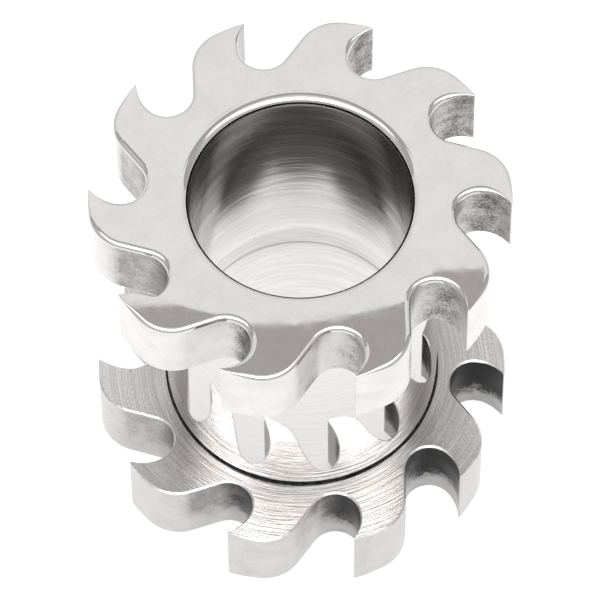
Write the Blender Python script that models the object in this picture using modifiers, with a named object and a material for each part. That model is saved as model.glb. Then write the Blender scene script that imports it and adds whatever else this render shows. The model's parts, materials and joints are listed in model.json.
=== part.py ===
"""Screw-fit ear tunnel with a saw-toothed flange at each end. Metres, +Z up.

The tunnel stands on the back flange's outer face, at z = 0, and its bore runs along +Z.
The front flange and the barrel are one turned and milled piece. The back is the other one:
a toothed flange with a short threaded spigot, which screws into the barrel's foot.
"""

import cmath
import math

import bmesh
import bpy

MM = 0.001

# Barrel, and the walls that are stacked inward from its outside down to the bore
BARREL_DIAMETER = 10.0 * MM
WEAR_LENGTH = 9.4 * MM
SOCKET_WALL = 0.455 * MM
THREAD_CLEARANCE = 0.09 * MM
THREAD_DEPTH = 0.21 * MM
SPIGOT_WALL = 0.27 * MM
MOUTH_ROUNDING = 0.33 * MM
FOOT_CHAMFER = 0.12 * MM

# Flanges: a rim around the barrel, and the teeth beyond it
FRONT_THICKNESS = 2.9 * MM
BACK_THICKNESS = 3.2 * MM
RIM_WIDTH = 0.52 * MM
TOOTH_HEIGHT = 2.005 * MM
OUTER_ROUNDING = 0.2 * MM
EDGE_BREAK = 0.05 * MM

# Teeth: each is a hooked point between two round gullets
TOOTH_COUNT = 10
GULLET_RADIUS = 0.91 * MM
GULLET_LEAD = math.radians(3.35)
HEEL_RADIUS = 1.54 * MM
HEEL_ROOM_SHARE = 0.98
CREST_SWEEP = math.radians(8.0)
TIP_ROUNDING = 0.03 * MM

# The rounded edges fade out towards each sharp tip, down to a share of the tip's own rounding
TIP_FADE = 1.2 * MM
TIP_EDGE_SHARE = 0.6

# How much further forward than the others a hand-finished tip reaches, by the tooth's number
FRONT_TIP_REACH = {5: 0.2 * MM, 6: 0.28 * MM, 7: 0.12 * MM}
BACK_TIP_REACH = {4: -0.2 * MM}
FRONT_PHASE = math.radians(32.7)
BACK_PHASE = math.radians(31.9)

# Screw joint at the barrel's foot
SEAT_GAP = 0.1 * MM
SPIGOT_LENGTH = 2.2 * MM
SPIGOT_CHAMFER = 0.12 * MM
SPIGOT_END_GAP = 0.1 * MM
COUNTERBORE_LENGTH = 1.0 * MM
COUNTERBORE_DEPTH = 0.06 * MM
THREAD_PITCH = 0.5 * MM
THREAD_RELIEF = 0.3 * MM
THREAD_FOOT_SHARE = 0.9
THREAD_SUNK_SHARE = 1 / 3

# Fineness of the round shapes
ROUND_SEGMENTS = 72
THREAD_SEGMENTS = 30
HOOK_STEPS = 3
TIP_STEPS = 2
CREST_STEPS = 1
HEEL_STEPS = 5
GULLET_STEPS = 9
ROUNDING_STEPS = 3
MOUTH_STEPS = 3
MERGE_DISTANCE = 0.0005 * MM

# How far a cutter runs past a face, and how deep a joined shape is sunk into its carrier
OVERRUN = 0.5 * MM

# Sizes that follow from the ones above
BARREL_RADIUS = BARREL_DIAMETER / 2
SOCKET_RADIUS = BARREL_RADIUS - SOCKET_WALL
THREAD_RADIUS = SOCKET_RADIUS - THREAD_CLEARANCE
SPIGOT_RADIUS = THREAD_RADIUS - THREAD_DEPTH
BORE_RADIUS = SPIGOT_RADIUS - SPIGOT_WALL
GULLET_CENTRE_RADIUS = BARREL_RADIUS + RIM_WIDTH + GULLET_RADIUS
BLADE_RADIUS = BARREL_RADIUS + RIM_WIDTH + TOOTH_HEIGHT
BACK_FACE_Z = BACK_THICKNESS
BARREL_FOOT_Z = BACK_FACE_Z + SEAT_GAP
FRONT_BOTTOM_Z = BACK_FACE_Z + WEAR_LENGTH
FRONT_FACE_Z = FRONT_BOTTOM_Z + FRONT_THICKNESS
SPIGOT_TOP_Z = BACK_FACE_Z + SPIGOT_LENGTH
SOCKET_TOP_Z = SPIGOT_TOP_Z + SPIGOT_END_GAP
COUNTERBORE_TOP_Z = SOCKET_TOP_Z + COUNTERBORE_LENGTH

STEEL_COLOR = (0.78, 0.775, 0.765, 1.0)
FRONT_ROUGHNESS = 0.12
BACK_ROUGHNESS = 0.2


def remove_all_objects():
    for thing in list(bpy.data.objects):
        bpy.data.objects.remove(thing)


def make_collection(name):
    collection = bpy.data.collections.new(name)
    bpy.context.scene.collection.children.link(collection)
    return collection


def steel(name, roughness):
    material = bpy.data.materials.new(name)
    material.use_nodes = True
    shader = material.node_tree.nodes["Principled BSDF"]
    shader.inputs["Base Color"].default_value = STEEL_COLOR
    shader.inputs["Metallic"].default_value = 1.0
    shader.inputs["Roughness"].default_value = roughness
    return material


def arc(centre, radius, start, end, steps, side):
    """Points of an arc in the complex plane, each with the way out of the metal there.

    The side is 1 where the metal lies inside the arc's circle and -1 where it lies outside.
    """
    angles = [start + (end - start) * step / steps for step in range(steps + 1)]
    ways = [cmath.rect(1, angle) for angle in angles]
    return [(centre + radius * way, side * way) for way in ways]


def heel_circle(crest_start, gullet):
    """The centre and radius of the fillet between the crest and the flank.

    The flank runs between this fillet and the gullet behind the tooth, so the room between
    them limits the radius.
    """
    crest_way = cmath.rect(1, crest_start)
    room = abs(BLADE_RADIUS * crest_way - gullet) ** 2 - GULLET_RADIUS**2
    along_crest = (crest_way * gullet.conjugate()).real
    largest = room / (2 * (GULLET_RADIUS + BLADE_RADIUS - along_crest))
    radius = min(HEEL_RADIUS, HEEL_ROOM_SHARE * largest)
    return (BLADE_RADIUS - radius) * crest_way, radius


def hook_circle(gullet, tip):
    """The centre and radius of the hook's hollow edge.

    It leaves the gullet at the gullet's left side, level with its centre, and runs out
    through the tooth's sharp tip.
    """
    along = tip.real - (gullet.real - GULLET_RADIUS)
    rise = tip.imag - gullet.imag
    radius = (along**2 + rise**2) / (2 * along)
    return complex(tip.real - along + radius, gullet.imag), radius


def tip_centre(hook, hook_radius):
    """The centre of the rounding between the crest and the hook, on the tooth's side.

    It touches the crest's circle from inside and the hook's circle from outside.
    """
    to_crest = BLADE_RADIUS - TIP_ROUNDING
    to_hook = hook_radius + TIP_ROUNDING
    span = abs(hook)
    along = (to_crest**2 - to_hook**2 + span**2) / (2 * span)
    aside = math.sqrt(to_crest**2 - along**2)
    return complex(along, aside) * hook / span


def tooth_outline(reach):
    """One tooth and the gullet behind it, anticlockwise about the blade's axis.

    The sharp tip would lie at (reach, blade radius), wrapped onto the blade's circle, and it
    points clockwise, towards +X. Each stretch is tangent to the next: hook, rounded tip,
    crest on the blade's circle, heel, straight flank and gullet. Each point comes with the
    way out of the metal and with its distance from the tip.
    """
    pitch = 2 * math.pi / TOOTH_COUNT
    gullet_ahead = cmath.rect(GULLET_CENTRE_RADIUS, math.pi / 2 - GULLET_LEAD)
    gullet_behind = gullet_ahead * cmath.rect(1, pitch)
    crest_start = math.pi / 2 + CREST_SWEEP
    sharp_tip = cmath.rect(BLADE_RADIUS, math.pi / 2 - reach / BLADE_RADIUS)
    heel, heel_radius = heel_circle(crest_start, gullet_behind)
    hook, hook_radius = hook_circle(gullet_ahead, sharp_tip)
    tip = tip_centre(hook, hook_radius)

    hook_end = cmath.phase(tip - hook)
    crest_end = cmath.phase(tip)
    span = heel - gullet_behind
    flank_side = cmath.phase(span) - math.acos((heel_radius + GULLET_RADIUS) / abs(span))
    heel_end = flank_side + math.pi
    gullet_end = pitch - math.pi

    points = arc(hook, hook_radius, math.pi, hook_end, HOOK_STEPS, -1)
    points += arc(tip, TIP_ROUNDING, hook_end - math.pi, crest_end, TIP_STEPS, 1)[1:]
    points += arc(0, BLADE_RADIUS, crest_end, crest_start, CREST_STEPS, 1)[1:]
    points += arc(heel, heel_radius, crest_start, heel_end, HEEL_STEPS, 1)[1:]
    points += arc(gullet_behind, GULLET_RADIUS, flank_side, gullet_end, GULLET_STEPS, -1)[:-1]
    return [(point, way, abs(point - tip)) for point, way in points]


def saw_outline(phase, tip_reach):
    """The whole flange's outline, anticlockwise, with a tip at the phase angle from +X."""
    outline = []
    for number in range(TOOTH_COUNT):
        turn = cmath.rect(1, phase - math.pi / 2 + 2 * math.pi * number / TOOTH_COUNT)
        tooth = tooth_outline(tip_reach.get(number, 0))
        outline += [(point * turn, way * turn, off_tip) for point, way, off_tip in tooth]
    return outline


def edge_width(full, off_tip):
    """The width of a rounded or broken edge at this distance from the nearest tip."""
    share = min(off_tip / TIP_FADE, 1)
    share = share**2 * (3 - 2 * share)
    return full * share + TIP_EDGE_SHARE * TIP_ROUNDING * (1 - share)


def edge_angles(steps):
    return [math.pi / 2 * step / steps for step in range(steps + 1)]


def edge_ring(outline, face, outward, full, angle):
    """One ring of an edge between a face and the wall, at an angle of the edge's turn.

    The angle is 0 at the face and a quarter turn at the wall.
    """
    ring = []
    for point, way, off_tip in outline:
        width = edge_width(full, off_tip)
        place = point - way * width * (1 - math.sin(angle))
        ring.append((place.real, place.imag, face - outward * width * (1 - math.cos(angle))))
    return ring


def toothed_disc(name, phase, tip_reach, inner_face, outer_face, collection):
    """A solid disc with the saw outline, lofted through its rings.

    Its outer face has the rounded edge, and its inner face, towards the ear, a broken one.
    """
    up = math.copysign(1, outer_face - inner_face)
    outline = saw_outline(phase, tip_reach)
    inner = [edge_ring(outline, inner_face, -up, EDGE_BREAK, a) for a in edge_angles(1)]
    outer = [
        edge_ring(outline, outer_face, up, OUTER_ROUNDING, a)
        for a in edge_angles(ROUNDING_STEPS)
    ]

    shape = bmesh.new()
    rings = [[shape.verts.new(p) for p in ring] for ring in inner + outer[::-1]]
    for lower, upper in zip(rings, rings[1:]):
        for index in range(len(lower)):
            shape.faces.new((lower[index - 1], lower[index], upper[index], upper[index - 1]))
    shape.faces.new(rings[0])
    shape.faces.new(rings[-1])
    bmesh.ops.remove_doubles(shape, verts=shape.verts, dist=MERGE_DISTANCE)
    bmesh.ops.recalc_face_normals(shape, faces=shape.faces)
    mesh = bpy.data.meshes.new(name)
    shape.to_mesh(mesh)
    shape.free()
    disc = bpy.data.objects.new(name, mesh)
    collection.objects.link(disc)
    return disc


def capped_mesh(source):
    """The mesh of an object as its modifiers leave it, with its open ends closed."""
    bpy.context.view_layer.update()
    evaluated = source.evaluated_get(bpy.context.evaluated_depsgraph_get())
    mesh = bpy.data.meshes.new_from_object(evaluated)
    shape = bmesh.new()
    shape.from_mesh(mesh)
    open_edges = [edge for edge in shape.edges if edge.is_boundary]
    bmesh.ops.holes_fill(shape, edges=open_edges)
    bmesh.ops.recalc_face_normals(shape, faces=shape.faces)
    shape.to_mesh(mesh)
    shape.free()
    return mesh


def add_turn(profile_object, turns, rise, segments):
    screw = profile_object.modifiers.new("turn", "SCREW")
    screw.angle = 2 * math.pi * turns
    screw.screw_offset = rise
    screw.steps = round(segments * turns)
    screw.render_steps = screw.steps
    screw.use_merge_vertices = rise == 0
    screw.merge_threshold = MERGE_DISTANCE


def profile_mesh(name, profile, closed, collection):
    """A line of (radius, z) points in the plane through +X, ready to be turned."""
    edges = [(index, index + 1) for index in range(len(profile) - 1)]
    if closed:
        edges.append((len(profile) - 1, 0))
    mesh = bpy.data.meshes.new(name)
    mesh.from_pydata([(radius, 0, z) for radius, z in profile], edges, [])
    line = bpy.data.objects.new(name, mesh)
    collection.objects.link(line)
    return line


def turned(name, profile, collection):
    """A solid of revolution, from a profile that starts and ends on the axis.

    The profile runs down its outer side, top to bottom.
    """
    solid = profile_mesh(name, profile, False, collection)
    add_turn(solid, 1, 0, ROUND_SEGMENTS)
    return solid


def barrel_blank(collection):
    """The barrel as a solid rod with a chamfered foot, sunk into the front flange."""
    top = FRONT_BOTTOM_Z + OVERRUN
    profile = [
        (0, top),
        (BARREL_RADIUS, top),
        (BARREL_RADIUS, BARREL_FOOT_Z + FOOT_CHAMFER),
        (BARREL_RADIUS - FOOT_CHAMFER, BARREL_FOOT_Z),
        (0, BARREL_FOOT_Z),
    ]
    return turned("barrel_blank", profile, collection)


def spigot_blank(collection):
    """The spigot as a solid rod with a chamfered top, sunk into the back flange."""
    bottom = BACK_FACE_Z - OVERRUN
    profile = [
        (0, SPIGOT_TOP_Z),
        (SPIGOT_RADIUS - SPIGOT_CHAMFER, SPIGOT_TOP_Z),
        (SPIGOT_RADIUS, SPIGOT_TOP_Z - SPIGOT_CHAMFER),
        (SPIGOT_RADIUS, bottom),
        (0, bottom),
    ]
    return turned("spigot_blank", profile, collection)


def thread_ridge(collection):
    """The spigot's right-hand thread: a triangular ridge wound around the spigot.

    It starts above the relief at the spigot's root and ends below the chamfer at its top.
    At the spigot's surface its foot covers a share of the pitch, and it is sunk into the wall
    by a share of that wall.
    """
    room = SPIGOT_LENGTH - SPIGOT_CHAMFER - THREAD_RELIEF - THREAD_PITCH
    turns = max(1, round(room / THREAD_PITCH, 1))
    sunk = THREAD_SUNK_SHARE * SPIGOT_WALL
    foot = THREAD_FOOT_SHARE * THREAD_PITCH * (THREAD_DEPTH + sunk) / THREAD_DEPTH
    middle = BACK_FACE_Z + THREAD_RELIEF + THREAD_PITCH / 2
    profile = [
        (SPIGOT_RADIUS - sunk, middle + foot / 2),
        (THREAD_RADIUS, middle),
        (SPIGOT_RADIUS - sunk, middle - foot / 2),
    ]
    line = profile_mesh("thread_profile", profile, True, collection)
    add_turn(line, turns, THREAD_PITCH * turns, THREAD_SEGMENTS)
    ridge = bpy.data.objects.new("thread_ridge", capped_mesh(line))
    collection.objects.link(ridge)
    bpy.data.objects.remove(line)
    return ridge


def mouth(face, outward):
    """The (radius, z) points of a bore's rounded mouth, from the face into the bore.

    The outward sign is 1 where the face looks up and -1 where it looks down.
    """
    points = []
    for step in range(MOUTH_STEPS + 1):
        angle = math.pi / 2 * step / MOUTH_STEPS
        radius = BORE_RADIUS + MOUTH_ROUNDING * (1 - math.sin(angle))
        depth = MOUTH_ROUNDING * (1 - math.cos(angle))
        points.append((radius, face - outward * depth))
    return points


def front_bore(collection):
    """What is bored out of the front piece, from top to bottom.

    After the rounded mouth and the bore come a shallow counterbore and the screw's socket.
    """
    top = FRONT_FACE_Z + OVERRUN
    bottom = BARREL_FOOT_Z - OVERRUN
    profile = [(0, top), (BORE_RADIUS + MOUTH_ROUNDING, top)]
    profile += mouth(FRONT_FACE_Z, 1)
    profile += [
        (BORE_RADIUS, COUNTERBORE_TOP_Z),
        (BORE_RADIUS + COUNTERBORE_DEPTH, COUNTERBORE_TOP_Z),
        (BORE_RADIUS + COUNTERBORE_DEPTH, SOCKET_TOP_Z),
        (SOCKET_RADIUS, SOCKET_TOP_Z),
        (SOCKET_RADIUS, bottom),
        (0, bottom),
    ]
    return turned("front_bore", profile, collection)


def back_bore(collection):
    """What is bored out of the back: the bore and its rounded mouth below."""
    top = SPIGOT_TOP_Z + OVERRUN
    bottom = -OVERRUN
    profile = [(0, top), (BORE_RADIUS, top)]
    profile += reversed(mouth(0, -1))
    profile += [(BORE_RADIUS + MOUTH_ROUNDING, bottom), (0, bottom)]
    return turned("back_bore", profile, collection)


def combine(solid, operation, *tools):
    """Joins the tools to the solid, or cuts them out of it, with Boolean modifiers."""
    for tool in tools:
        tool.hide_render = True
        tool.display_type = "WIRE"
        boolean = solid.modifiers.new(tool.name, "BOOLEAN")
        boolean.operation = operation
        boolean.object = tool
        boolean.solver = "EXACT"


def finish(solid, roughness):
    solid.data.materials.clear()
    solid.data.materials.append(steel(solid.name + "_steel", roughness))


def main():
    remove_all_objects()
    pieces = make_collection("ear_tunnel")
    tools = make_collection("ear_tunnel_cutters")

    front_name = "barrel_with_front_flange"
    front = toothed_disc(
        front_name, FRONT_PHASE, FRONT_TIP_REACH, FRONT_BOTTOM_Z, FRONT_FACE_Z, pieces
    )
    combine(front, "UNION", barrel_blank(tools))
    combine(front, "DIFFERENCE", front_bore(tools))
    finish(front, FRONT_ROUGHNESS)

    back = toothed_disc("screw_back", BACK_PHASE, BACK_TIP_REACH, BACK_FACE_Z, 0, pieces)
    combine(back, "UNION", spigot_blank(tools), thread_ridge(tools))
    combine(back, "DIFFERENCE", back_bore(tools))
    finish(back, BACK_ROUGHNESS)


main()
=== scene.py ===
"""The looks of the ear tunnel: fine meshes, steel finishes, light and camera. Metres, +Z up."""

import cmath
import json
import math

import bmesh
import bpy
import numpy as np
from mathutils import Matrix, Vector
from mathutils.geometry import delaunay_2d_cdt


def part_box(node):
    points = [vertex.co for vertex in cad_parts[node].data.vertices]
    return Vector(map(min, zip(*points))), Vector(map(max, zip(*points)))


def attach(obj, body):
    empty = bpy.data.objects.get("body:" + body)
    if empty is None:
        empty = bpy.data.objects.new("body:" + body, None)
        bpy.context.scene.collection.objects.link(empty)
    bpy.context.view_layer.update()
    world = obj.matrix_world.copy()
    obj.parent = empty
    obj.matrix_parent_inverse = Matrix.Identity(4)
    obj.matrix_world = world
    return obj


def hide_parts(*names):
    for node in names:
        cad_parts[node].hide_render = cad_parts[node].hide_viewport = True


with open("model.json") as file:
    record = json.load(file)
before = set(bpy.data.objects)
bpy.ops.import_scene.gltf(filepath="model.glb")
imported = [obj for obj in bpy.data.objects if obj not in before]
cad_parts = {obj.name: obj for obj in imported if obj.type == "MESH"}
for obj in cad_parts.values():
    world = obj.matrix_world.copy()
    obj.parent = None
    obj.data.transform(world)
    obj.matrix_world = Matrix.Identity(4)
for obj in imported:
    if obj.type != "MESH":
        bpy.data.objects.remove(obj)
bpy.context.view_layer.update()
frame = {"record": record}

MM = 0.001

# Heights that the frame gives
MOUNTS = {mount["name"]: mount["pos_m"] for mount in frame["record"]["mounts"]}
FRONT_FACE_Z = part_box("barrel_with_front_flange")[1].z
FRONT_BOTTOM_Z = MOUNTS["ear_face"][2]
REST_FACE_Z = MOUNTS["rest_face"][2]
BARREL_FOOT_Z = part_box("barrel_with_front_flange")[0].z
SPIGOT_TOP_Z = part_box("screw_back")[1].z

# Sizes of the turned shapes
BARREL_RADIUS = 5.0 * MM
BORE_RADIUS = 3.975 * MM
SPIGOT_RADIUS = 4.245 * MM
SOCKET_RADIUS = 4.545 * MM
SEAT_GAP = 0.1 * MM
SEAM_WIDTH = 0.12 * MM
SEAM_SHOWING = 0.06 * MM
SOCKET_ROOM = 0.02 * MM
COUNTERBORE_HEIGHT = 1.1 * MM
COUNTERBORE_DEPTH = 0.02 * MM
COUNTERBORE_TAPER = 0.15 * MM
FOOT_CHAMFER = 0.06 * MM
SPIGOT_CHAMFER = 0.12 * MM
MOUTH_ROUNDING = 0.33 * MM
OUTER_ROUNDING = 0.2 * MM
EDGE_BREAK = 0.07 * MM
THREAD_DEPTH = 0.21 * MM
THREAD_PITCH = 0.5 * MM
THREAD_RELIEF = 0.3 * MM
THREAD_FOOT_SHARE = 0.9
BACK_FACE_Z = BARREL_FOOT_Z - SEAT_GAP
SOCKET_TOP_Z = SPIGOT_TOP_Z + SOCKET_ROOM
COUNTERBORE_TOP_Z = SPIGOT_TOP_Z + COUNTERBORE_HEIGHT

# Sizes of the teeth
TOOTH_COUNT = 10
TOOTH_PITCH = 2 * math.pi / TOOTH_COUNT
BLADE_RADIUS = 7.525 * MM
GULLET_RADIUS = 0.91 * MM
GULLET_CENTRE_RADIUS = 6.43 * MM
GULLET_LEAD = math.radians(3.35)
HEEL_RADIUS = 1.54 * MM
HEEL_ROOM_SHARE = 0.98
CREST_SWEEP = math.radians(8.0)
TIP_ROUNDING = 0.03 * MM
TIP_FADE = 1.2 * MM
TIP_EDGE_SHARE = 0.6
FRONT_PHASE = math.radians(32.7)
BACK_PHASE = math.radians(31.9)

# What sets single teeth apart, by the tooth's number: a longer or shorter tip, a filled hook
FRONT_TIP_REACH = {5: 0.32 * MM, 6: 0.28 * MM, 7: 0.12 * MM}
BACK_TIP_REACH = {4: -0.2 * MM}
FRONT_HOOK_FILL = {5: 0.3 * MM}
BACK_HOOK_FILL = {}

# Polishing leaves each outer face flat around the bore, and lets it fall off evenly towards
# the bore's mouth and towards -Y and +Y. The fall towards -Y starts at another Y along X.
FLAT_INNER_RADIUS = 4.75 * MM
MOUTH_DROOP = 37.0
NEAR_DROOP = 3.5
NEAR_DROOP_PLACES = (-4.3 * MM, -1.9 * MM, -0.2 * MM, 1.2 * MM, 3.6 * MM, 4.7 * MM)
NEAR_DROOP_STARTS = (-3.7 * MM, -4.8 * MM, -4.85 * MM, -4.65 * MM, -3.9 * MM, -2.3 * MM)
FAR_DROOP = 2.0
FAR_DROOP_START = 3.0 * MM

# Fineness of the meshes
ROUND_STEPS = 240
HOOK_STEPS = 12
TIP_STEPS = 4
CREST_STEPS = 8
HEEL_STEPS = 14
GULLET_STEPS = 26
ROUNDING_STEPS = 8
MOUTH_FALL_STEPS = 6
WALL_STEPS = 10
CYLINDER_STEPS = 12
THREAD_STEPS = 40
PLATE_STEP = 0.16 * MM
PLATE_MARGIN = 0.6 * PLATE_STEP
GUARD = 0.003 * MM
WALL_MARGIN = 5 * GUARD
SHARP_ANGLE = math.radians(38)

# What Blender's triangulation is asked for: triangles inside the edges, and a tolerance
TRIANGLES_INSIDE = 1
PLATE_TOLERANCE = 1e-7

# The gullet values between which the milled finish comes in
MILLED_START = -0.45
MILLED_END = 0.65

# Stains and painted shade in the gullets, by the gullet's number: their strength, and the
# middle and the spread of each along the gullet. The darkness of the back flange's right-hand
# gullets is painted shade. The other gullets have the plain one.
FRONT_STAINS_AND_SHADE = {
    0: (0.48, 1.5, 0.8),
    3: (1.5, 0.35, 0.4),
    4: (1.1, 0.35, 0.55),
    5: (0.75, 0.6, 0.3),
    6: (0.3, 0.8, 0.4),
    7: (0.4, 0.9, 0.6),
    8: (0.45, 1.2, 0.8),
    9: (0.44, 1.4, 0.8),
}
BACK_STAINS_AND_SHADE = {
    3: (0.7, 0.4, 0.4),
    4: (1.0, 0.4, 0.45),
    5: (1.4, 0.45, 0.5),
    6: (1.3, 0.7, 0.6),
    7: (2.6, 0.9, 0.9),
    8: (3.2, 1.2, 1.2),
    9: (1.2, 1.3, 0.8),
}
PLAIN_STAIN_AND_SHADE = (0.4, 1.0, 0.6)

# Where the finishes and the painted shade change, in millimetres, as a start and an end:
# heights above the floor, radii, places along X, distances to both sides of the axis, and
# depths below the front face. The painted shade above the joint in the bore comes in over the
# joint's fade.
STAIN_AND_SHADE_HEIGHTS = (1.4, 2.7)
LOWER_SHADE_HEIGHTS = (3.0, 8.0)
OUTWARD_TONE_RADII = (5.2, 7.0)
SIDE_SHADE_PLACES = (-7.0, 7.0)
MIDDLE_SHADE_SIDES = (1.0, 3.0)
MOUTH_SHADE_HEIGHTS = (9.0, 12.0)
MOUTH_SHADE_SIDES = (1.0, 3.2)
HONED_DEPTHS = (3.5, 9.0)
JOINT_FADE = 0.1

# Steel: the warm tint that each finish's brightness is multiplied by
STEEL_TINT = (1.0, 0.978, 0.963)

# The range that most of a noise's values lie in, a narrower one that many of them pass, and
# the share of a speck that is solid
NOISE_RANGE = (0.3, 0.7)
NARROW_RANGE = (0.35, 0.65)
SPECK_CORE = 0.6

# Camera, as fitted to the photograph
CAMERA_ELEVATION = math.radians(60.47)
CAMERA_ROLL = math.radians(-0.54)
CAMERA_DISTANCE = 234.1 * MM
CAMERA_AIM = (0.067 * MM, -2.392 * MM)
CLIP_START = 0.01
CLIP_END = 20
FOCAL_PIXELS = 6312
IMAGE_PIXELS = 600
SENSOR_WIDTH = 36.0

# The studio, by the direction that is looked in: x to the right, y to the back and z up. The
# bright wall starts at an edge in y, which slopes along x and bends forward to both sides.
WALL_EDGE = 0.4855
WALL_SLOPE = 0.065
WALL_BEND = 0.11
WALL_BEND_SIDES = (0.05, 0.3)
WALL_EDGE_BLUR = (-0.0006, 0.0006)
WALL_HEIGHTS = (0.0, 0.87)
WALL_LIGHT = (0.86, 1.17)
CEILING_PLACES = (0.35, -0.25)
CEILING_LIGHT = (0.57, 0.72)
FRONT_PLACES = (0.08, -0.15)
FRONT_HEIGHTS = (0.1, 0.75)
FRONT_LIGHT = (0.65, 1.05)
LAMP_WIDTH = 0.62
LAMP_HEIGHT = 0.19
LAMP_RISE = 0.7
LAMP_BLUR = (1.5, 0.5)
LAMP_PLACES = (0.1, 0.0)
LAMP_LIGHT = 4.4
LEAST_LAMP_LIGHT = 0.01
DULL_TINT = (1.0, 0.955, 0.94)

# The floor, which glows less far away, and less near the object and under it as painted shadow
FLOOR_REACH = 2.0
FLOOR_WHITE = 0.2
FLOOR_ROUGHNESS = 0.9
FLOOR_SHADOW_RADII = (8.0 * MM, 14.0 * MM)
FLOOR_SHADOW_LIGHT = (0.87, 1.05)
FLOOR_FAR_RADII = (18.0 * MM, 70.0 * MM)
FLOOR_FAR_SHARE = (1.0, 0.4)

# The floor inside the bore glows only dimly, as painted shade, with a soft painted pool of
# light on it
PATCH_PLACE = (0.2 * MM, 1.2 * MM)
PATCH_WIDTH = 2.4 * MM
PATCH_LENGTH = 3.0 * MM
PATCH_BLUR = (1.65, 0.5)
PATCH_LIGHT = (0.15, 1.75)
PATCH_END_RADII = (BORE_RADIUS, 1.2 * BORE_RADIUS)


def eased(share):
    """A share from 0 to 1 with a soft start and a soft end."""
    return share**2 * (3 - 2 * share)


def arc(centre, radius, start, end, steps, side):
    """Points of an arc in the complex plane, each with the way out of the metal there.

    The side is 1 where the metal lies inside the arc's circle and -1 where it lies outside.
    """
    angles = [start + (end - start) * step / steps for step in range(steps + 1)]
    ways = [cmath.rect(1, angle) for angle in angles]
    return [(centre + radius * way, side * way) for way in ways]


def heel_circle(crest_start, gullet):
    """The centre and radius of the fillet between the crest and the flank."""
    crest_way = cmath.rect(1, crest_start)
    room = abs(BLADE_RADIUS * crest_way - gullet) ** 2 - GULLET_RADIUS**2
    along_crest = (crest_way * gullet.conjugate()).real
    largest = room / (2 * (GULLET_RADIUS + BLADE_RADIUS - along_crest))
    radius = min(HEEL_RADIUS, HEEL_ROOM_SHARE * largest)
    return (BLADE_RADIUS - radius) * crest_way, radius


def hook_circle(gullet, tip):
    """The centre and radius of the hook's hollow edge, from the gullet to the sharp tip."""
    along = tip.real - (gullet.real - GULLET_RADIUS)
    rise = tip.imag - gullet.imag
    radius = (along**2 + rise**2) / (2 * along)
    return complex(tip.real - along + radius, gullet.imag), radius


def tip_centre(hook, hook_radius):
    """The centre of the rounding between the crest and the hook, on the tooth's side."""
    to_crest = BLADE_RADIUS - TIP_ROUNDING
    to_hook = hook_radius + TIP_ROUNDING
    span = abs(hook)
    along = (to_crest**2 - to_hook**2 + span**2) / (2 * span)
    aside = math.sqrt(to_crest**2 - along**2)
    return complex(along, aside) * hook / span


def tooth_outline(reach):
    """One tooth and the gullet behind it, anticlockwise, with its tip towards +X.

    Each point comes with the way out of the metal and with its distance from the tip.
    """
    gullet_ahead = cmath.rect(GULLET_CENTRE_RADIUS, math.pi / 2 - GULLET_LEAD)
    gullet_behind = gullet_ahead * cmath.rect(1, TOOTH_PITCH)
    crest_start = math.pi / 2 + CREST_SWEEP
    sharp_tip = cmath.rect(BLADE_RADIUS, math.pi / 2 - reach / BLADE_RADIUS)
    heel, heel_radius = heel_circle(crest_start, gullet_behind)
    hook, hook_radius = hook_circle(gullet_ahead, sharp_tip)
    tip = tip_centre(hook, hook_radius)

    hook_end = cmath.phase(tip - hook)
    crest_end = cmath.phase(tip)
    span = heel - gullet_behind
    flank_side = cmath.phase(span) - math.acos((heel_radius + GULLET_RADIUS) / abs(span))
    heel_end = flank_side + math.pi
    gullet_end = TOOTH_PITCH - math.pi

    points = arc(hook, hook_radius, math.pi, hook_end, HOOK_STEPS, -1)
    points += arc(tip, TIP_ROUNDING, hook_end - math.pi, crest_end, TIP_STEPS, 1)[1:]
    points += arc(0, BLADE_RADIUS, crest_end, crest_start, CREST_STEPS, 1)[1:]
    points += arc(heel, heel_radius, crest_start, heel_end, HEEL_STEPS, 1)[1:]
    points += arc(gullet_behind, GULLET_RADIUS, flank_side, gullet_end, GULLET_STEPS, -1)[:-1]
    return [(point, way, abs(point - tip)) for point, way in points]


def gullet_values():
    """The gullet value of each point of one tooth's outline: see Outline."""
    hook = 1 + np.arange(HOOK_STEPS + 1) / HOOK_STEPS
    crest = np.full(TIP_STEPS + CREST_STEPS, -1.0)
    heel = np.arange(1, HEEL_STEPS + 1) / HEEL_STEPS - 1
    gullet = np.arange(GULLET_STEPS) / GULLET_STEPS
    return np.concatenate([hook, crest, heel, gullet])


class Outline:
    """A flange's saw outline, anticlockwise, with a tip at the phase angle from +X.

    The gullet value is -1 on the crest and rises to 0 over the heel, to 1 around the gullet
    and to 2 along the hook. The number is that of the gullet a point belongs to.
    """

    def __init__(self, phase, tip_reach, hook_fill):
        rows = []
        for number in range(TOOTH_COUNT):
            turn = cmath.rect(1, phase - math.pi / 2 + TOOTH_PITCH * number)
            tooth = tooth_outline(tip_reach.get(number, 0))
            rows += [(point * turn, way * turn, off_tip) for point, way, off_tip in tooth]
        points, ways, off_tip = zip(*rows)
        self.ways = np.array(ways)
        self.off_tip = np.array(off_tip)
        self.gullet = np.tile(gullet_values(), TOOTH_COUNT)
        tooth_number = np.repeat(np.arange(TOOTH_COUNT), len(rows) // TOOTH_COUNT)
        on_hook = self.gullet >= 1
        self.number = (tooth_number - on_hook) % TOOTH_COUNT
        fills = np.array([hook_fill.get(number, 0) for number in range(TOOTH_COUNT)])
        bulge = np.sin(math.pi * (self.gullet - 1)) * on_hook
        self.points = np.array(points) + self.ways * fills[tooth_number] * bulge

    def drawn_in(self, width):
        """The outline drawn in by a width, which may differ from point to point."""
        return self.points - self.ways * width

    def edge_width(self, full):
        """The width of a rounded or broken edge, which fades out towards each tip."""
        share = eased(np.minimum(self.off_tip / TIP_FADE, 1))
        return full * share + TIP_EDGE_SHARE * TIP_ROUNDING * (1 - share)


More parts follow.
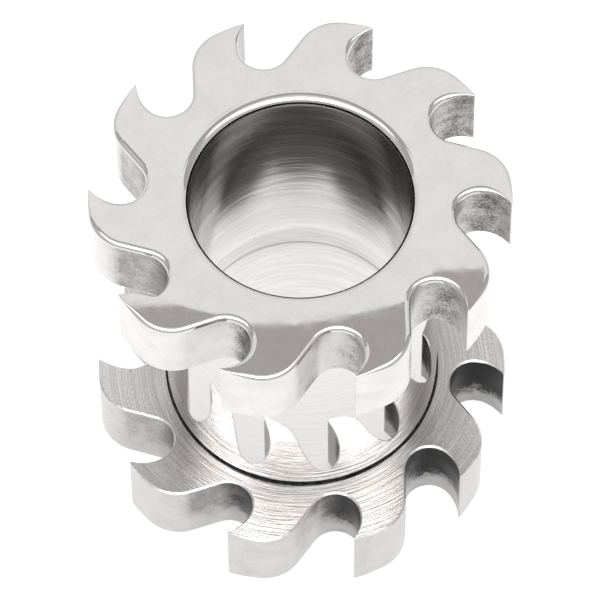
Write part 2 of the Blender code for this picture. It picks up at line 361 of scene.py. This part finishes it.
def circle(radius):
    """Places around the axis, at one radius or at one for each place."""
    return radius * np.exp(2j * math.pi * np.arange(ROUND_STEPS) / ROUND_STEPS)


def droop(places):
    """How far an outer face lies below flat at these places."""
    starts = np.interp(places.real, NEAR_DROOP_PLACES, NEAR_DROOP_STARTS)
    near = NEAR_DROOP * np.maximum(starts - places.imag, 0) ** 2
    far = FAR_DROOP * np.maximum(places.imag - FAR_DROOP_START, 0) ** 2
    mouth = MOUTH_DROOP * np.maximum(FLAT_INNER_RADIUS - np.abs(places), 0) ** 2
    return near + far + mouth


def inside(places, outline):
    """Whether each place lies inside a closed outline, by counting the edges to its right."""
    here = places[:, None]
    start = outline[None, :]
    end = np.roll(outline, -1)[None, :]
    astride = (start.imag > here.imag) != (end.imag > here.imag)
    rise = np.where(start.imag == end.imag, 1, end.imag - start.imag)
    cross = start.real + (end.real - start.real) * (here.imag - start.imag) / rise
    return (astride & (here.real < cross)).sum(axis=1) % 2 == 1


def plate_grid(outline, hole_radius):
    """A triangular grid of places that fills an outline, clear of its edge and of the hole."""
    rows = np.arange(-BLADE_RADIUS, BLADE_RADIUS, PLATE_STEP * math.sqrt(0.75))
    columns = np.arange(-BLADE_RADIUS, BLADE_RADIUS, PLATE_STEP)
    shift = (np.arange(len(rows)) % 2) * PLATE_STEP / 2
    places = (columns[None, :] + shift[:, None] + 1j * rows[:, None]).ravel()
    away = np.abs(places)
    places = places[(away > hole_radius + PLATE_MARGIN) & (away < BLADE_RADIUS)]
    clear = np.abs(places[:, None] - outline[None, :]).min(axis=1) > PLATE_MARGIN
    return places[clear & inside(places, outline)]


def loop_edges(start, count):
    """The edges of a closed loop of corners that are numbered from the start."""
    return [(start + index, start + (index + 1) % count) for index in range(count)]


class Skin:
    """The mesh of one piece, built from rings of points and from plates between two rings.

    Each group of faces is in a band, and each band has its own material. The points' marks
    say how milled the steel is there, and how stained and darkened by painted shade.
    """

    def __init__(self, name):
        self.name = name
        self.points = []
        self.marks = []
        self.count = 0
        self.faces = []
        self.bands = []

    def ring(self, places, heights, marks=0.0):
        """Adds a ring of points and returns their numbers."""
        count = len(places)
        points = np.empty((count, 3))
        points[:, 0] = places.real
        points[:, 1] = places.imag
        points[:, 2] = heights
        self.points.append(points)
        self.marks.append(np.broadcast_to(np.atleast_2d(marks), (count, 2)))
        numbers = np.arange(self.count, self.count + count)
        self.count += count
        return numbers

    def wall(self, radius, start_z, end_z):
        """Adds evenly spaced round rings from one height to another."""
        heights = np.linspace(start_z, end_z, CYLINDER_STEPS + 1)
        return [self.ring(circle(radius), height) for height in heights]

    def add_faces(self, faces, band):
        """Adds faces, given by the numbers of their points."""
        self.faces.append(faces)
        self.bands.append(band)

    def strips(self, rings, band):
        """Adds quads between each ring and the next one."""
        for first, second in zip(rings, rings[1:]):
            corners = [first, np.roll(first, -1), np.roll(second, -1), second]
            self.add_faces(np.stack(corners, axis=1), band)

    def places(self, ring):
        """The places of a ring's points in the complex plane."""
        points = np.concatenate(self.points)[ring]
        return points[:, 0] + 1j * points[:, 1]

    def plate(self, outer, hole, height_at, band):
        """Adds triangles between a ring and a round hole in it, over a fine grid."""
        edge = self.places(outer)
        rim = self.places(hole)
        hole_radius = np.abs(rim).mean()
        grid = plate_grid(edge, hole_radius)
        places = np.concatenate([edge, rim, grid])
        corners = [Vector((place.real, place.imag)) for place in places / MM]
        edges = loop_edges(0, len(edge)) + loop_edges(len(edge), len(rim))
        result = delaunay_2d_cdt(corners, edges, [], TRIANGLES_INSIDE, PLATE_TOLERANCE)
        faces, originals = result[2:4]
        source = np.array([numbers[0] for numbers in originals])
        triangles = source[np.array(faces)]
        keep = np.abs(places[triangles].mean(axis=1)) > hole_radius
        numbers = np.concatenate([outer, hole, self.ring(grid, height_at(grid))])
        self.add_faces(numbers[triangles[keep]], band)

    def build(self, materials):
        """The mesh object, with one material slot for each band in materials."""
        mesh = bpy.data.meshes.new(self.name)
        faces = [face for group in self.faces for face in group.tolist()]
        mesh.from_pydata(np.concatenate(self.points).tolist(), [], faces)
        for material in materials.values():
            mesh.materials.append(material)
        slots = [list(materials).index(band) for band in self.bands]
        slots = np.repeat(slots, [len(group) for group in self.faces])
        mesh.polygons.foreach_set("material_index", slots.astype(np.int32))
        marks = np.concatenate(self.marks).astype(np.float32)
        for index, name in enumerate(("milled", "stain_and_shade")):
            layer = mesh.attributes.new(name, "FLOAT", "POINT")
            layer.data.foreach_set("value", np.ascontiguousarray(marks[:, index]))
        shape = bmesh.new()
        shape.from_mesh(mesh)
        bmesh.ops.recalc_face_normals(shape, faces=shape.faces)
        shape.to_mesh(mesh)
        shape.free()
        mesh.shade_smooth()
        mesh.set_sharp_from_angle(angle=SHARP_ANGLE)
        thing = bpy.data.objects.new(self.name, mesh)
        bpy.context.scene.collection.objects.link(thing)
        return thing


def turn_angles():
    """Angles of a rounded edge, from 0 at the face to a quarter turn at the wall."""
    return [math.pi / 2 * step / ROUNDING_STEPS for step in range(ROUNDING_STEPS + 1)]


def mouth_rings(skin, face_z, outward):
    """The rings of a bore's rounded mouth, from the flat of the face into the bore."""
    rings = []
    guard_radius = BORE_RADIUS + MOUTH_ROUNDING + GUARD
    for radius in np.linspace(FLAT_INNER_RADIUS, guard_radius, MOUTH_FALL_STEPS):
        fall = circle(radius)
        rings.append(skin.ring(fall, face_z - outward * droop(fall)))
    edge_z = face_z - outward * droop(circle(guard_radius))
    for angle in turn_angles():
        radius = BORE_RADIUS + MOUTH_ROUNDING * (1 - math.sin(angle))
        depth = MOUTH_ROUNDING * (1 - math.cos(angle))
        rings.append(skin.ring(circle(radius), edge_z - outward * depth))
    return rings


def tooth_marks(outline, stains_and_shade):
    """How milled, and how stained and darkened by painted shade, each point of the outline is.
    """
    share = (outline.gullet - MILLED_START) / (MILLED_END - MILLED_START)
    milled = eased(np.clip(share, 0, 1))
    table = np.array([stains_and_shade.get(number, PLAIN_STAIN_AND_SHADE) for number in range(TOOTH_COUNT)])
    strength, middle, spread = table[outline.number].T
    stain_and_shade = strength * np.exp(-(((outline.gullet - middle) / spread) ** 2))
    return np.stack([milled, stain_and_shade], axis=1)


def flange(skin, outline, inner_z, face_z, mouth, foot, marks):
    """A toothed flange's skin, from its bore's mouth over its teeth to the foot's ring."""
    outward = math.copysign(1, face_z - inner_z)
    width = outline.edge_width(OUTER_ROUNDING)

    def face_height(places):
        return face_z - outward * droop(places)

    face_edge = outline.drawn_in(width + GUARD)
    face_rings = [skin.ring(face_edge, face_height(face_edge), marks)]
    skin.plate(face_rings[0], mouth, face_height, "face")
    for angle in turn_angles():
        places = outline.drawn_in(width * (1 - math.sin(angle)))
        heights = face_height(places) - outward * width * (1 - math.cos(angle))
        face_rings.append(skin.ring(places, heights, marks))
    skin.strips(face_rings, "face")

    narrow = outline.edge_width(EDGE_BREAK)
    top = face_height(outline.points) - outward * (width + GUARD)
    bottom = inner_z + outward * narrow
    walls = []
    for share in np.linspace(0, 1, WALL_STEPS + 1):
        heights = top * (1 - share) + bottom * share
        walls.append(skin.ring(outline.points, heights, marks))
    skin.strips([face_rings[-1]] + walls, "teeth")
    rim = skin.ring(outline.drawn_in(narrow), inner_z, marks)
    skin.strips([walls[-1], rim], "edge")
    skin.plate(rim, foot, lambda places: inner_z, "turned")


def front_skin(materials):
    """The front flange with the barrel, its bore and the socket for the screw."""
    skin = Skin("front_flange_and_barrel")
    outline = Outline(FRONT_PHASE, FRONT_TIP_REACH, FRONT_HOOK_FILL)
    mouth = mouth_rings(skin, FRONT_FACE_Z, 1)
    barrel = skin.wall(BARREL_RADIUS, FRONT_BOTTOM_Z, BARREL_FOOT_Z + FOOT_CHAMFER)
    marks = tooth_marks(outline, FRONT_STAINS_AND_SHADE)
    flange(skin, outline, FRONT_BOTTOM_Z, FRONT_FACE_Z, mouth[0], barrel[0], marks)
    skin.strips(barrel, "barrel")
    foot = skin.ring(circle(BARREL_RADIUS - FOOT_CHAMFER), BARREL_FOOT_Z)
    seat = skin.ring(circle(SOCKET_RADIUS), BARREL_FOOT_Z)
    # The foot's chamfer is darkened like the seam: a dark joint with painted shade
    skin.strips([barrel[-1], foot], "seam")
    skin.strips([foot, seat], "turned")

    recess = circle(BORE_RADIUS + COUNTERBORE_DEPTH)
    bore = [seat]
    bore.append(skin.ring(circle(SOCKET_RADIUS), SOCKET_TOP_Z))
    bore.append(skin.ring(recess, SOCKET_TOP_Z))
    bore.append(skin.ring(recess, COUNTERBORE_TOP_Z - COUNTERBORE_TAPER))
    wall_top = FRONT_FACE_Z - MOUTH_ROUNDING - WALL_MARGIN
    bore += skin.wall(BORE_RADIUS, COUNTERBORE_TOP_Z, wall_top)
    bore.append(mouth[-1])
    skin.strips(bore, "bore")
    skin.strips(mouth, "face")
    return skin.build(materials)


def thread_stand(height):
    """How far the thread stands out of the spigot, all round one height."""
    room = SPIGOT_TOP_Z - SPIGOT_CHAMFER - BACK_FACE_Z - THREAD_RELIEF - THREAD_PITCH
    turns = round(room / THREAD_PITCH, 1)
    start = BACK_FACE_Z + THREAD_RELIEF + THREAD_PITCH / 2
    stand = np.zeros(ROUND_STEPS)
    for turn in range(math.ceil(turns) + 1):
        wound = turn + np.arange(ROUND_STEPS) / ROUND_STEPS
        middle = start + wound * THREAD_PITCH
        off = np.abs(height - middle) / (THREAD_FOOT_SHARE * THREAD_PITCH / 2)
        ridge = THREAD_DEPTH * np.clip(1 - off, 0, 1) * (wound <= turns)
        stand = np.maximum(stand, ridge)
    return stand


def back_skin(materials):
    """The back flange with the threaded spigot, bored through."""
    skin = Skin("screw_back_flange")
    outline = Outline(BACK_PHASE, BACK_TIP_REACH, BACK_HOOK_FILL)
    mouth = mouth_rings(skin, REST_FACE_Z, -1)
    spigot = []
    for height in np.linspace(BACK_FACE_Z, SPIGOT_TOP_Z - SPIGOT_CHAMFER, THREAD_STEPS + 1):
        spigot.append(skin.ring(circle(SPIGOT_RADIUS + thread_stand(height)), height))
    seat = skin.ring(circle(BARREL_RADIUS + SEAM_SHOWING), BACK_FACE_Z)
    marks = tooth_marks(outline, BACK_STAINS_AND_SHADE)
    flange(skin, outline, BACK_FACE_Z, REST_FACE_Z, mouth[0], seat, marks)
    undarkened = skin.ring(circle(BARREL_RADIUS - SEAM_WIDTH), BACK_FACE_Z)
    skin.strips([seat, undarkened], "seam")
    skin.strips([undarkened, spigot[0]], "turned")
    spigot.append(skin.ring(circle(SPIGOT_RADIUS - SPIGOT_CHAMFER), SPIGOT_TOP_Z))
    skin.strips(spigot, "thread")

    bore = [spigot[-1]]
    bore.append(skin.ring(circle(BORE_RADIUS + COUNTERBORE_DEPTH), SPIGOT_TOP_Z))
    wall_top = SPIGOT_TOP_Z - COUNTERBORE_TAPER
    wall_bottom = REST_FACE_Z + MOUTH_ROUNDING + WALL_MARGIN
    bore += skin.wall(BORE_RADIUS, wall_top, wall_bottom)
    bore.append(mouth[-1])
    skin.strips(bore, "bore")
    skin.strips(mouth, "face")
    return skin.build(materials)


class Graph:
    """Short ways to add linked nodes to a shader's node tree."""

    def __init__(self, tree):
        self.nodes = tree.nodes
        self.links = tree.links

    def put(self, socket, value):
        """Links the socket to another one, or gives it a plain value."""
        if isinstance(value, bpy.types.NodeSocket):
            self.links.new(value, socket)
        else:
            socket.default_value = value

    def math(self, operation, *values):
        """A math node's result."""
        node = self.nodes.new("ShaderNodeMath")
        node.operation = operation
        for socket, value in zip(node.inputs, values):
            self.put(socket, value)
        return node.outputs[0]

    def chain(self, operation, values):
        """The result of a math operation over two or more values."""
        total = values[0]
        for value in values[1:]:
            total = self.math(operation, total, value)
        return total

    def add(self, *values):
        """The sum of the values."""
        return self.chain("ADD", values)

    def times(self, *values):
        """The product of the values."""
        return self.chain("MULTIPLY", values)

    def power4(self, value):
        """The fourth power, also of a value below 0."""
        return self.times(value, value, value, value)

    def span(self, value, source, target=(0.0, 1.0), smooth=True):
        """The value, mapped from the source range to the target and held at its ends."""
        node = self.nodes.new("ShaderNodeMapRange")
        node.interpolation_type = "SMOOTHSTEP" if smooth else "LINEAR"
        self.put(node.inputs["Value"], value)
        for name, number in zip(("From Min", "From Max"), source):
            node.inputs[name].default_value = number
        for name, number in zip(("To Min", "To Max"), target):
            node.inputs[name].default_value = number
        return node.outputs["Result"]

    def swing(self, noise, target):
        """A noise, mapped from its usual range to the target."""
        return self.span(noise, NOISE_RANGE, target)

    def blend(self, share, first, second):
        """The first value, or the second one where the share is 1."""
        node = self.nodes.new("ShaderNodeMix")
        self.put(node.inputs["Factor"], share)
        self.put(node.inputs["A"], first)
        self.put(node.inputs["B"], second)
        return node.outputs["Result"]

    def coordinates(self, kind="Object"):
        """The texture coordinates of one kind."""
        return self.nodes.new("ShaderNodeTexCoord").outputs[kind]

    def split(self, vector):
        """A vector's x, y and z."""
        node = self.nodes.new("ShaderNodeSeparateXYZ")
        self.put(node.inputs[0], vector)
        return node.outputs[0], node.outputs[1], node.outputs[2]

    def join(self, x, y, z):
        """A vector of x, y and z."""
        node = self.nodes.new("ShaderNodeCombineXYZ")
        for socket, value in zip(node.inputs, (x, y, z)):
            self.put(socket, value)
        return node.outputs[0]

    def stretch(self, vector, factors):
        """A vector, multiplied by one factor for each axis."""
        node = self.nodes.new("ShaderNodeVectorMath")
        node.operation = "MULTIPLY"
        self.put(node.inputs[0], vector)
        self.put(node.inputs[1], factors)
        return node.outputs["Vector"]

    def length(self, vector):
        """A vector's length."""
        node = self.nodes.new("ShaderNodeVectorMath")
        node.operation = "LENGTH"
        self.put(node.inputs[0], vector)
        return node.outputs["Value"]

    def noise(self, vector, scale, detail=3.0, roughness=0.55):
        """Noise with a mean of about one half; the scale is in waves to a unit."""
        node = self.nodes.new("ShaderNodeTexNoise")
        self.put(node.inputs["Vector"], vector)
        node.inputs["Scale"].default_value = scale
        node.inputs["Detail"].default_value = detail
        node.inputs["Roughness"].default_value = roughness
        return node.outputs["Fac"]

    def mark(self, name):
        """What a mesh's points are marked with."""
        node = self.nodes.new("ShaderNodeAttribute")
        node.attribute_name = name
        return node.outputs["Fac"]


class Steel:
    """A steel material: its node graph, its places in millimetres and its shader."""

    def __init__(self, name):
        self.material = bpy.data.materials.new(name)
        self.material.use_nodes = True
        self.graph = Graph(self.material.node_tree)
        self.shader = self.material.node_tree.nodes["Principled BSDF"]
        self.shader.inputs["Metallic"].default_value = 1.0
        self.places = self.graph.stretch(self.graph.coordinates(), (1 / MM,) * 3)

    def noise(self, scale, detail=3.0, roughness=0.55):
        """Noise over the places; the scale is in waves to a millimetre."""
        return self.graph.noise(self.places, scale, detail, roughness)

    def ring_noise(self, around, along, detail=3.0, roughness=0.55):
        """Noise with one scale around the axis and another along it."""
        places = self.graph.stretch(self.places, (around, around, along))
        return self.graph.noise(places, 1.0, detail, roughness)

    def specks(self, scale, size, share):
        """1 in small dots and 0 elsewhere; only a share of the grid's cells has a dot."""
        graph = self.graph
        node = graph.nodes.new("ShaderNodeTexVoronoi")
        graph.put(node.inputs["Vector"], self.places)
        node.inputs["Scale"].default_value = scale
        chance = graph.split(node.outputs["Color"])[0]
        dot = graph.span(node.outputs["Distance"], (size, SPECK_CORE * size))
        return graph.times(dot, graph.math("LESS_THAN", chance, share))

    def set_brightness(self, brightness):
        """Gives the steel a brightness, with its tint."""
        grey = self.graph.join(brightness, brightness, brightness)
        self.graph.put(self.shader.inputs["Base Color"], self.graph.stretch(grey, STEEL_TINT))

    def set_roughness(self, roughness):
        """Gives the steel a roughness, as a number or from the graph."""
        self.graph.put(self.shader.inputs["Roughness"], roughness)

    def set_bump(self, height, depth):
        """Relief: a height of 1 stands out by the depth."""
        bump = self.graph.nodes.new("ShaderNodeBump")
        bump.inputs["Strength"].default_value = 1.0
        bump.inputs["Distance"].default_value = depth
        self.graph.put(bump.inputs["Height"], height)
        self.graph.put(self.shader.inputs["Normal"], bump.outputs["Normal"])


def polished_face():
    """Mirror polish with a faint grain, some faint clouds of tone and a little dust."""
    steel = Steel("polished_face")
    graph = steel.graph
    grain = graph.swing(steel.noise(7.0, detail=2.0), (-0.012, 0.012))
    clouds = graph.swing(steel.noise(0.9, detail=4.0), (-0.02, 0.015))
    dust = graph.times(steel.specks(scale=2.2, size=0.05, share=0.3), -0.1)
    steel.set_brightness(graph.add(0.63, grain, clouds, dust))
    steel.set_roughness(graph.span(steel.noise(1.3), (0.35, 0.7), (0.018, 0.04)))
    steel.set_bump(steel.noise(1.6, detail=2.0), 0.0003 * MM)
    return steel.material


def ground_teeth():
    """Satin backs of the teeth and rough, speckled gullets, darkened by stains and painted
    shade.
    """
    steel = Steel("ground_teeth")
    graph = steel.graph
    milled = graph.mark("milled")
    stain_and_shade = graph.mark("stain_and_shade")
    height = graph.split(steel.places)[2]
    speckle = steel.noise(11.0, roughness=0.7)
    clouds = steel.noise(1.1)
    blots = steel.noise(1.8, roughness=0.6)

    back = graph.add(graph.swing(clouds, (0.58, 0.66)), graph.times(speckle, 0.02))
    # The gullets' darker base is partly painted shade in their hollows
    gullet = graph.add(graph.swing(clouds, (0.42, 0.54)), graph.times(speckle, 0.04))
    ragged_height = graph.add(height, blots, graph.times(speckle, 0.6))
    # Painted light: stains and painted shade thin out near the floor, leaving the lowest parts
    # of the back gullets lighter
    rise = graph.span(ragged_height, STAIN_AND_SHADE_HEIGHTS, (0.1, 1.0))
    dark = graph.add(speckle, graph.times(blots, 0.7), graph.times(stain_and_shade, 0.8))
    soot_and_shade = graph.times(graph.span(dark, (0.9, 1.55), (0.0, 0.97)), rise)
    gullet = graph.times(gullet, graph.math("SUBTRACT", 1.0, soot_and_shade))
    blotched = graph.span(blots, NARROW_RANGE, (0.75, 1.25))
    speckled = graph.span(speckle, NARROW_RANGE, (0.8, 1.2))
    # Smooth stains and painted shade, blotched and speckled
    smoke_and_shade = graph.times(stain_and_shade, blotched, speckled, rise)
    undarkened = graph.span(smoke_and_shade, (0.0, 2.2), (1.0, 0.03))
    # Painted shade: the back flange's teeth, low down, are darker than the front flange's
    lower_flange_shade = graph.span(height, LOWER_SHADE_HEIGHTS, (0.85, 1.0))
    steel.set_brightness(graph.times(graph.blend(milled, back, gullet), undarkened, lower_flange_shade))

    rough = graph.add(graph.blend(milled, 0.26, 0.38), graph.swing(clouds, (-0.05, 0.05)))
    steel.set_roughness(rough)
    relief = graph.add(graph.times(speckle, milled), graph.times(clouds, 0.4))
    steel.set_bump(relief, 0.005 * MM)
    return steel.material


def burred_edge():
    """The broken edges on the ear's side, with a bright ragged burr."""
    steel = Steel("burred_edge")
    ragged = steel.noise(6.0, roughness=0.7)
    steel.set_brightness(steel.graph.span(ragged, NARROW_RANGE, (0.5, 0.7)))
    steel.set_roughness(0.32)
    steel.set_bump(ragged, 0.008 * MM)
    return steel.material


def turned_face():
    """Fine turning lines around the axis, of uneven depth and width, with painted light and
    shade.
    """
    steel = Steel("turned_face")
    graph = steel.graph
    x, y = graph.split(steel.places)[:2]
    radius = graph.length(graph.join(x, y, 0.0))
    drift = graph.times(steel.noise(0.35, detail=2.0), 0.15)
    across = graph.join(graph.add(radius, drift), graph.times(x, 0.02), graph.times(y, 0.02))

    tone = graph.swing(graph.noise(across, 17.0), (0.44, 0.59))
    # Darker towards the barrel and lighter towards the rim
    outward_tone = graph.span(radius, OUTWARD_TONE_RADII, (-0.05, 0.09))
    # Painted light and shade: lighter to the left (-X) and darker to the right
    painted_side_shade = graph.span(x, SIDE_SHADE_PLACES, (0.04, -0.005))
    # Painted shade: darker along the middle, where X is near 0
    middle = graph.span(graph.math("ABSOLUTE", x), MIDDLE_SHADE_SIDES, (-0.18, 0.0))
    steel.set_brightness(graph.add(tone, graph.add(outward_tone, painted_side_shade), middle))

    steel.set_roughness(graph.swing(steel.noise(1.2), (0.13, 0.2)))
    fine = graph.times(graph.noise(across, 19.0, detail=2.0, roughness=0.6), 0.8)
    coarse = graph.times(graph.noise(across, 3.0, detail=2.0, roughness=0.6), 0.12)
    grain = graph.times(steel.noise(13.0, detail=2.0, roughness=0.6), 0.35)
    steel.set_bump(graph.add(fine, coarse, grain), 0.012 * MM)
    return steel.material


def polished_barrel():
    """Mirror polish with faint lines around the barrel."""
    steel = Steel("polished_barrel")
    graph = steel.graph
    lines = steel.ring_noise(0.5, 9.0)
    steel.set_brightness(graph.add(0.64, graph.swing(lines, (-0.02, 0.02))))
    steel.set_roughness(graph.swing(steel.noise(1.5), (0.03, 0.08)))
    steel.set_bump(lines, 0.0008 * MM)
    return steel.material


def bored_wall():
    """Bored steel with uneven rings and streaks, darkened by painted shade towards the front
    mouth and in the recess above the joint.
    """
    steel = Steel("bored_wall")
    graph = steel.graph
    x, _, z = graph.split(steel.places)
    streaks = steel.ring_noise(0.5, 5.0, detail=4.0, roughness=0.65)
    rings = steel.ring_noise(0.12, 3.0, roughness=0.6)

    bright = graph.swing(streaks, (0.42, 0.5))
    dirt = graph.times(steel.specks(scale=1.6, size=0.09, share=0.3), -0.2)
    # Painted shade: a darker band in the counterbore's recess, above the joint
    joint = SPIGOT_TOP_Z / MM
    recess_top = COUNTERBORE_TOP_Z / MM
    above_joint = graph.span(z, (joint - JOINT_FADE, joint))
    below_top = graph.span(z, (recess_top, recess_top - COUNTERBORE_TAPER / MM))
    recess = graph.times(above_joint, below_top, -0.07)
    # Painted shade: darker towards the front mouth, more so to both sides, unevenly from ring
    # to ring
    ragged_height = graph.add(z, graph.swing(streaks, (-1.0, 1.0)))
    mouth_shade = graph.span(ragged_height, MOUTH_SHADE_HEIGHTS, (0.0, -1.0))
    aside = graph.span(graph.math("ABSOLUTE", x), MOUTH_SHADE_SIDES, (0.1, 0.22))
    spared = graph.span(rings, (0.4, 0.65), (1.25, 0.6))
    mouth_shade = graph.times(mouth_shade, aside, spared)
    steel.set_brightness(graph.add(bright, dirt, recess, mouth_shade))

    depth = graph.math("SUBTRACT", FRONT_FACE_Z / MM, z)
    ragged_depth = graph.add(depth, graph.swing(streaks, (-1.5, 1.5)))
    steel.set_roughness(graph.span(ragged_depth, HONED_DEPTHS, (0.1, 0.27)))
    steel.set_bump(graph.add(rings, graph.times(streaks, 0.7)), 0.0045 * MM)
    return steel.material


def seam_joint_and_shade():
    """The dark joint where the barrel's foot meets the back flange, darkened further as painted
    shade.
    """
    steel = Steel("seam_joint_and_shade")
    mottle = steel.noise(4.0, roughness=0.6)
    steel.set_brightness(steel.graph.swing(mottle, (0.02, 0.07)))
    steel.set_roughness(0.6)
    steel.set_bump(mottle, 0.004 * MM)
    return steel.material


def cut_thread():
    """The thread's satin flanks, with tool marks around them."""
    steel = Steel("cut_thread")
    marks = steel.ring_noise(0.6, 8.0)
    steel.set_brightness(steel.graph.swing(marks, (0.48, 0.64)))
    steel.set_roughness(0.25)
    steel.set_bump(marks, 0.006 * MM)
    return steel.material


def make_camera():
    """The photograph's camera: it looks along +Y and down, with a small roll."""
    right = Vector((1, 0, 0))
    ahead = Vector((0, math.cos(CAMERA_ELEVATION), -math.sin(CAMERA_ELEVATION)))
    up = right.cross(ahead)
    roll = Matrix.Rotation(-CAMERA_ROLL, 3, ahead)
    right = roll @ right
    up = roll @ up
    middle = Vector((0, 0, BACK_FACE_Z))
    place = middle - CAMERA_AIM[0] * right - CAMERA_AIM[1] * up - CAMERA_DISTANCE * ahead
    data = bpy.data.cameras.new("camera")
    data.sensor_width = SENSOR_WIDTH
    data.lens = SENSOR_WIDTH * FOCAL_PIXELS / IMAGE_PIXELS
    data.clip_start = CLIP_START
    data.clip_end = CLIP_END
    camera = bpy.data.objects.new("camera", data)
    axes = Matrix((right, up, -ahead)).transposed()
    camera.matrix_world = Matrix.Translation(place) @ axes.to_4x4()
    bpy.context.scene.collection.objects.link(camera)
    bpy.context.scene.camera = camera


def soft_shape(graph, across, along, width, length):
    """Below 1 inside a rounded rectangle around the middle, and above 1 outside it."""
    across = graph.times(across, 1 / width)
    along = graph.times(along, 1 / length)
    return graph.add(graph.power4(across), graph.power4(along))


def make_world():
    """A studio: a bright wall behind (+Y), a grey ceiling, pale walls in front and a lamp."""
    world = bpy.data.worlds.new("studio")
    bpy.context.scene.world = world
    world.use_nodes = True
    graph = Graph(world.node_tree)
    x, y, z = graph.split(graph.coordinates("Generated"))

    bend = graph.span(graph.math("ABSOLUTE", x), WALL_BEND_SIDES, (0.0, -WALL_BEND))
    edge = graph.add(WALL_EDGE, graph.times(x, WALL_SLOPE), bend)
    on_wall = graph.span(graph.math("SUBTRACT", y, edge), WALL_EDGE_BLUR)
    wall = graph.span(z, WALL_HEIGHTS, WALL_LIGHT, smooth=False)
    ceiling = graph.span(y, CEILING_PLACES, CEILING_LIGHT)
    front_walls = graph.span(z, FRONT_HEIGHTS, FRONT_LIGHT)
    light = graph.blend(graph.span(y, FRONT_PLACES), ceiling, front_walls)
    light = graph.blend(on_wall, light, wall)

    off = soft_shape(graph, x, graph.add(z, -LAMP_RISE), LAMP_WIDTH, LAMP_HEIGHT)
    lamp = graph.times(graph.span(off, LAMP_BLUR), graph.span(y, LAMP_PLACES), LAMP_LIGHT)
    on_lamp = graph.math("GREATER_THAN", lamp, LEAST_LAMP_LIGHT)
    white = graph.math("MAXIMUM", on_wall, on_lamp)
    colour = graph.join(*[graph.span(white, (0.0, 1.0), (tint, 1.0)) for tint in DULL_TINT])
    background = world.node_tree.nodes["Background"]
    graph.put(background.inputs["Strength"], graph.add(light, lamp))
    graph.put(background.inputs["Color"], colour)


def make_floor():
    """A white glowing floor, as a light table's, with painted shade and a soft painted pool of
    light in the bore.
    """
    mesh = bpy.data.meshes.new("floor")
    signs = [(-1, -1), (1, -1), (1, 1), (-1, 1)]
    corners = [(FLOOR_REACH * across, FLOOR_REACH * along, 0) for across, along in signs]
    mesh.from_pydata(corners, [], [(0, 1, 2, 3)])
    floor = bpy.data.objects.new("floor", mesh)
    bpy.context.scene.collection.objects.link(floor)
    material = bpy.data.materials.new("floor_white")
    material.use_nodes = True
    mesh.materials.append(material)

    graph = Graph(material.node_tree)
    place = graph.coordinates()
    x, y = graph.split(place)[:2]
    from_patch = (graph.add(x, -PATCH_PLACE[0]), graph.add(y, -PATCH_PLACE[1]))
    off = soft_shape(graph, *from_patch, PATCH_WIDTH, PATCH_LENGTH)
    patch = graph.span(off, PATCH_BLUR, PATCH_LIGHT)
    away = graph.length(place)
    # Painted shadow: the floor glows less near the object
    near = graph.span(away, FLOOR_SHADOW_RADII, FLOOR_SHADOW_LIGHT)
    far = graph.span(away, FLOOR_FAR_RADII, FLOOR_FAR_SHARE)
    # Inside the bore the glow is painted shade with a painted pool of light; outside it is the
    # even glow
    glow = graph.blend(graph.span(away, PATCH_END_RADII), patch, graph.times(near, far))
    shader = material.node_tree.nodes["Principled BSDF"]
    shader.inputs["Base Color"].default_value = (FLOOR_WHITE, FLOOR_WHITE, FLOOR_WHITE, 1)
    shader.inputs["Roughness"].default_value = FLOOR_ROUGHNESS
    shader.inputs["Emission Color"].default_value = (1, 1, 1, 1)
    graph.put(shader.inputs["Emission Strength"], glow)


make_camera()
make_floor()
make_world()
bpy.context.scene.view_settings.view_transform = "Standard"

FINISHES = {
    "face": polished_face(),
    "teeth": ground_teeth(),
    "edge": burred_edge(),
    "turned": turned_face(),
    "barrel": polished_barrel(),
    "bore": bored_wall(),
    "seam": seam_joint_and_shade(),
    "thread": cut_thread(),
}
front = front_skin(FINISHES)
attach(front, "barrel")
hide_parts("barrel_with_front_flange")
back = back_skin(FINISHES)
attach(back, "back")
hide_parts("screw_back")
